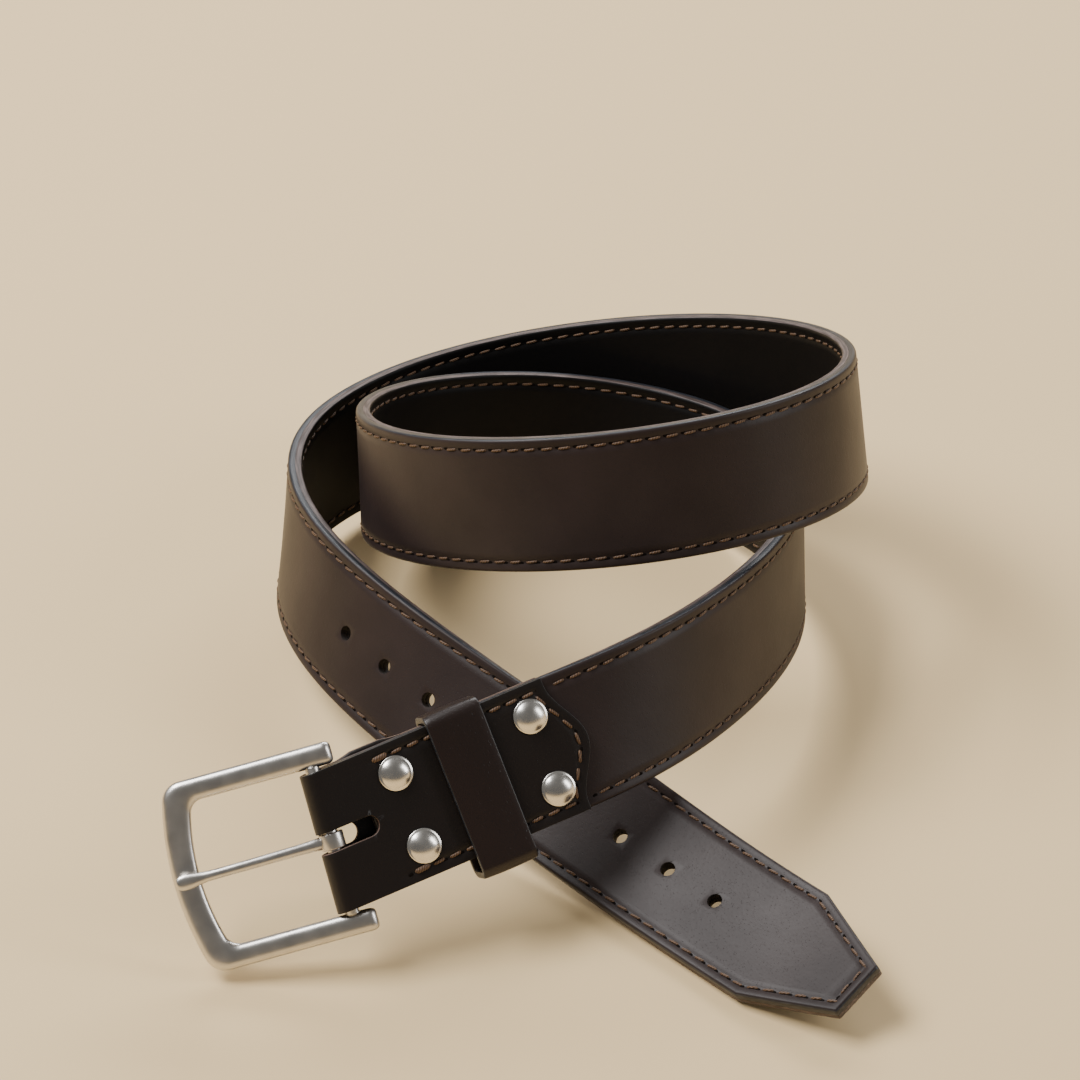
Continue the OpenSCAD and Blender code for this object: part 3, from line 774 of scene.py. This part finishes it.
def metal(name, colour, roughness, streak, relief, smudge):
    """Nickel or steel: the film dulls it here and there, and the polishing marks run along its streak."""
    made = bpy.data.materials.new(name)
    made.use_nodes = True
    tree = made.node_tree
    link = tree.links.new
    shader = tree.nodes["Principled BSDF"]
    shader.inputs["Metallic"].default_value = 1
    place = node(tree, "ShaderNodeTexCoord", (-1000, 0))
    plate = node(tree, "ShaderNodeGroup", (-700, 0), node_tree=plating)
    plate.inputs["Streak"].default_value = streak
    link(place.outputs["Object"], plate.inputs["Place"])
    tone = node(tree, "ShaderNodeValToRGB", (-400, 200))
    tone.color_ramp.elements[0].position, tone.color_ramp.elements[1].position = 0.3, 0.75
    tone.color_ramp.elements[0].color = (*[c * 0.86 for c in colour], 1)
    tone.color_ramp.elements[1].color = (*colour, 1)
    link(plate.outputs["Film"], tone.inputs["Fac"])
    link(tone.outputs["Color"], shader.inputs["Base Color"])
    dull = node(tree, "ShaderNodeMapRange", (-400, -50))
    dull.inputs["From Min"].default_value, dull.inputs["From Max"].default_value = 0.3, 0.7
    dull.inputs["To Min"].default_value = roughness - smudge
    dull.inputs["To Max"].default_value = roughness + smudge
    link(plate.outputs["Film"], dull.inputs["Value"])
    link(dull.outputs["Result"], shader.inputs["Roughness"])
    bump = node(tree, "ShaderNodeBump", (-400, -300))
    bump.inputs["Strength"].default_value = 0.35
    bump.inputs["Distance"].default_value = relief
    link(plate.outputs["Marks"], bump.inputs["Height"])
    link(bump.outputs["Normal"], shader.inputs["Normal"])
    return made


polished_nickel = metal("polished_nickel", (0.82, 0.79, 0.74), 0.26, (900, 900, 900), 0.00002, 0.04)
plain_steel = metal("plain_steel", (0.56, 0.55, 0.53), 0.3, (1500, 1500, 1500), 0.00002, 0.08)
dome_r = (cap_r ** 2 + cap_h ** 2) / (2 * cap_h)
rim_h, dome_steps = 0.35 * MM, 12
dome = [(r, max(cap_h - dome_r + math.sqrt(dome_r ** 2 - r ** 2), rim_h))
        for r in (cap_r * k / dome_steps for k in range(dome_steps))]
cap_profile = dome + [(cap_r - 0.06 * MM, 0.42 * MM), (cap_r, 0.24 * MM), (cap_r - 0.05 * MM, 0.08 * MM),
                      (cap_r - 0.25 * MM, 0), (0, 0)]
flange_profile = [(0, -flange_h), (flange_r - 0.5 * MM, -flange_h), (flange_r - 0.2 * MM, -0.74 * MM),
                  (flange_r, -0.5 * MM), (flange_r, -0.12 * MM), (flange_r - 0.12 * MM, 0), (post_r, 0),
                  (post_r, 2 * leaf_top - 0.05 * MM), (0, 2 * leaf_top - 0.05 * MM)]
for i, (x, y) in enumerate(rivet_places, 1):
    finished(turned_part(cap_profile, x, y, leaf_top), f"rivet_cap_{i}_polished", [polished_nickel],
             "strap", "polished_nickel", f"rivet_cap_{i}")
    finished(turned_part(flange_profile, x, y, -leaf_top), f"rivet_post_{i}_set", [plain_steel],
             "strap", "plain_steel", f"rivet_post_{i}")

# --- Keeper -------------------------------------------------------------------------------------
# A loop of 1.8 mm reddish brown leather that slides on the chape. It is a little too long, so its
# slack hangs below the strap. It is closed behind with a steel staple.
keeper_x, keeper_w, keeper_t = 42 * MM, 16 * MM, 1.8 * MM
keeper_z, keeper_top, keeper_low = 4.5 * MM, 19.5 * MM, -23.5 * MM
keeper_r, keeper_crown, keeper_round = 1.4 * MM, 0.25 * MM, 0.4 * MM


def loop_point(turn, out):
    """A point of the loop, turn from 0 to 1 round it and out from its inner face."""
    r = keeper_r + out
    y0, y1, z0, z1 = keeper_low - out, keeper_top + out, -keeper_z - out, keeper_z + out
    sides = [(Vector((y1, z0 + r)), Vector((y1, z1 - r))), (Vector((y1 - r, z1)), Vector((y0 + r, z1))),
             (Vector((y0, z1 - r)), Vector((y0, z0 + r))), (Vector((y0 + r, z0)), Vector((y1 - r, z0)))]
    mids = [Vector((y1 - r, z1 - r)), Vector((y0 + r, z1 - r)),
            Vector((y0 + r, z0 + r)), Vector((y1 - r, z0 + r))]
    quarter, part = int(turn * 4) % 4, turn * 4 % 1
    a, b = sides[quarter]
    if part < 0.5:
        return a + (b - a) * part * 2
    ang = math.pi / 2 * (quarter + (part - 0.5) * 2)
    return mids[quarter] + Vector((math.cos(ang), math.sin(ang))) * r


bm = bmesh.new()
bmesh.ops.create_grid(bm, x_segments=96, y_segments=8, size=1)
for v in bm.verts:
    v.co = (v.co.y * keeper_w / 2, (v.co.x + 1) / 2, 0)
thickened(bm, 0, keeper_t)
for f in bm.faces:
    f.material_index = 1 if abs(f.normal.x) > 0.5 else 0
ends = [f for f in bm.faces if abs(f.normal.y) > 0.5]
bmesh.ops.delete(bm, geom=ends, context="FACES")
flat = bm.verts.layers.float_vector.new("flat")
for v in bm.verts:
    along, turn, out = v.co
    v[flat] = (along + 0.5, turn * 100 * MM, out)
    crown = keeper_crown * (1 - (2 * along / keeper_w) ** 2) * (out / keeper_t)
    y, z = loop_point(min(turn, 0.999999) if turn < 1 else 0, out + crown)
    v.co = (along, y, z)
bmesh.ops.remove_doubles(bm, verts=bm.verts, dist=0.01 * MM)
bmesh.ops.recalc_face_normals(bm, faces=bm.faces)
corners = [e for e in bm.edges if len(e.link_faces) == 2 and e.calc_face_angle() > 1]
rounded_off(bm, corners, keeper_round, 3)
for v in bm.verts:
    v.co = bar_place_of(keeper_x + v.co.x, v.co.y, v.co.z)
keeper_leather = leather("keeper_leather", (0.012, 0.0066, 0.0055), (0.028, 0.0165, 0.0135),
                         0.34, 0.00005, 1, 0.4)
finished(bm, "keeper_loop", [keeper_leather, grain_edge], "keeper", "keeper_leather", "keeper")

# The staple: 1 mm steel wire, its crown flat against the back of the loop.
bm = bmesh.new()
staple_w, staple_l, crown_h = 1 * MM, 8 * MM, 0.6 * MM
bmesh.ops.create_cube(bm, size=1)
bmesh.ops.scale(bm, vec=(staple_w, staple_l, crown_h + 0.6 * MM), verts=bm.verts)
rounded_off(bm, bm.edges[:], 0.28 * MM, 3)
for v in bm.verts:
    v.co = bar_place_of(keeper_x + v.co.x, v.co.y, v.co.z - keeper_z - keeper_t - 0.25 * MM)
finished(bm, "keeper_staple_crown", [plain_steel], "keeper", "plain_steel", "keeper_staple")

# --- Buckle frame -------------------------------------------------------------------------------
# A heel-bar buckle cast in one piece and nickelled with a satin finish: two rounded arms, a wider,
# bowed front bar, and between the arms' round ends the heel bar that the chape is folded round.
frame_l, frame_w, arm_w, front_w, heel_l = 44 * MM, 52.5 * MM, 6.2 * MM, 7.4 * MM, 4 * MM
front_bow, frame_t, bar_r, swing = 4 * MM, 4.6 * MM, 2.0 * MM, math.radians(-15)
frame_half, arm_y = frame_w / 2, frame_w / 2 - arm_w
side_steps, end_steps = 10, 7


def at_buckle(x, y, z):
    """A point of the buckle, in its own plane: x towards the strap, y along the bar."""
    x, z = x * math.cos(swing) + z * math.sin(swing), -x * math.sin(swing) + z * math.cos(swing)
    along, across = x * math.cos(skew) + y * math.sin(skew), -x * math.sin(skew) + y * math.cos(skew)
    return bar_place_of(along, across, z)


def frame_side(l, h, bow, r):
    """Half an outline of the frame, from the bar to the middle of the front bar, in even steps."""
    lead = math.atan(1.6 * bow / h)
    cy = h - r
    y_end = cy + r * math.sin(lead)
    cx = -l + bow * (y_end / h) ** 2 + r * math.cos(lead)
    line = [Vector((heel_l, h)), Vector((cx, h))]
    line += [Vector((cx + r * math.cos(a), cy + r * math.sin(a)))
             for a in (math.pi / 2 + (math.pi / 2 - lead) * k / side_steps for k in range(1, side_steps + 1))]
    line += [Vector((-l + bow * (y / h) ** 2, y))
             for y in (y_end * (1 - k / side_steps) for k in range(1, side_steps + 1))]
    straight = [line[0].lerp(line[1], k / side_steps) for k in range(side_steps)]
    return straight + line[1:]


outer_side = frame_side(frame_l, frame_half, front_bow, 6 * MM)
inner_side = frame_side(frame_l - front_w, arm_y, front_bow * arm_y / frame_half, 4 * MM)
outer_line = outer_side + [Vector((p.x, -p.y)) for p in reversed(outer_side[:-1])]
inner_line = inner_side + [Vector((p.x, -p.y)) for p in reversed(inner_side[:-1])]


def swept_section(bm, stations, around, squareness):
    """A rounded bar through stations of (middle, half width across, half thickness)."""
    bmesh.ops.create_grid(bm, x_segments=len(stations) - 1, y_segments=around, size=1)
    for v in bm.verts:
        i = round((v.co.x + 1) / 2 * (len(stations) - 1))
        a = math.pi * (v.co.y + 1)
        middle, across, thick = stations[i]
        c, s = math.cos(a), math.sin(a)
        c = math.copysign(abs(c) ** squareness, c)
        s = math.copysign(abs(s) ** squareness, s)
        v.co = middle + across * c + thick * s
    bmesh.ops.remove_doubles(bm, verts=bm.verts, dist=0.004 * MM)
    bmesh.ops.recalc_face_normals(bm, faces=bm.faces)


stations = []
for end in (1, -1):
    caps = []
    for k in range(end_steps):
        a = math.pi / 2 * k / end_steps
        x = heel_l + frame_t / 2 * math.cos(a)
        caps.append((Vector((x, end * (frame_half + arm_y) / 2, 0)),
                     Vector((0, end * arm_w / 2, 0)) * math.sin(a) ** 0.35,
                     Vector((0, 0, frame_t / 2 * math.sin(a)))))
    if end == 1:
        stations += caps
        stations += [(Vector(((o.x + n.x) / 2, (o.y + n.y) / 2, 0)),
                      Vector(((o.x - n.x) / 2, (o.y - n.y) / 2, 0)),
                      Vector((0, 0, frame_t / 2))) for o, n in zip(outer_line, inner_line)]
    else:
        stations += list(reversed(caps))
bm = bmesh.new()
swept_section(bm, stations, 32, 0.78)
for v in bm.verts:
    v.co = at_buckle(*v.co)
satin_nickel = metal("satin_nickel", (0.70, 0.67, 0.63), 0.32, (700, 2600, 1500), 0.00002, 0.03)
finished(bm, "buckle_frame_cast", [satin_nickel], "buckle", "satin_nickel", "buckle_frame")

# The heel bar runs inside the fold of the chape.
bm = bmesh.new()
bmesh.ops.create_cone(bm, cap_ends=True, segments=40, radius1=bar_r, radius2=bar_r, depth=2 * arm_y + MM,
                      matrix=Matrix.Rotation(math.pi / 2, 4, "X"))
rounded_off(bm, [e for e in bm.edges if e.calc_face_angle() > 1], 0.2 * MM, 2)
for v in bm.verts:
    v.co = at_buckle(*v.co)
finished(bm, "buckle_heel_bar", [satin_nickel], "buckle", "satin_nickel")

# --- Prong --------------------------------------------------------------------------------------
# The tongue of the buckle: steel wire, nickelled, bent into an eye round the bar at one end and
# hammered flat and a little wider at the other, where it rests on the front bar.
prong_r, eye_w, eye_r, running_gap = 1.5 * MM, 4.4 * MM, bar_r + 1.4 * MM, 0.06 * MM
start = Vector((-bar_r - 0.7 * MM, 0, 0.6 * MM))
rest = Vector((-frame_l + front_w / 2, 0, frame_t / 2 + prong_r + 0.45 * MM))
run = (rest - start).normalized()
proud = Vector((-run.z, 0, run.x))
if proud.z < 0:
    proud = -proud
reach = (rest - start).length
tongue = [  # distance along, half width, half thickness
    (-0.9, 0.05, 0.05), (-0.8, 0.9, 0.7), (-0.4, 1.45, 1.15), (0.4, 1.75, 1.4), (3, 1.62, 1.5),
    (8, 1.5, 1.5), (16, 1.45, 1.5), (24, 1.42, 1.5), (31, 1.4, 1.48), (35, 1.45, 1.35),
    (37.5, 1.7, 1.25), (39.5, 2.0, 1.2), (41.3, 2.15, 1.15), (42.8, 2.0, 1.05), (43.7, 1.6, 0.9),
    (44.1, 1.1, 0.7), (44.3, 0.5, 0.4), (44.35, 0.05, 0.05)]
tongue_end = reach + 2.8 * MM
stretch = tongue_end / (tongue[-1][0] * MM)
stations = []
for d, w, t in tongue:
    d *= MM * stretch
    arch = 0.5 * MM * math.sin(math.pi * min(max(d / reach, 0), 1))
    stations.append((start + run * d + proud * arch, Vector((0, w * MM, 0)), proud * t * MM))
bm = bmesh.new()
swept_section(bm, stations, 28, 0.92)
ring_of_eye = bmesh.ops.create_cone(bm, cap_ends=False, segments=44, radius1=eye_r, radius2=eye_r,
                                    depth=eye_w, matrix=Matrix.Rotation(math.pi / 2, 4, "X"))["verts"]
eye_faces = list({f for v in ring_of_eye for f in v.link_faces})
bmesh.ops.recalc_face_normals(bm, faces=eye_faces)
wall = bmesh.ops.extrude_face_region(bm, geom=eye_faces, use_keep_orig=True)["geom"]
for v in wall:
    if isinstance(v, bmesh.types.BMVert):
        away = math.hypot(v.co.x, v.co.z)
        v.co.x *= (bar_r + running_gap) / away
        v.co.z *= (bar_r + running_gap) / away
bmesh.ops.recalc_face_normals(bm, faces=bm.faces)
rounded_off(bm, [e for e in bm.edges if len(e.link_faces) == 2 and e.calc_face_angle() > 1
                 and all(abs(abs(v.co.y) - eye_w / 2) < 0.01 * MM for v in e.verts)], 0.3 * MM, 3)
for v in bm.verts:
    v.co = at_buckle(*v.co)
finished(bm, "prong_tongue", [satin_nickel], "prong", "satin_nickel", "prong")
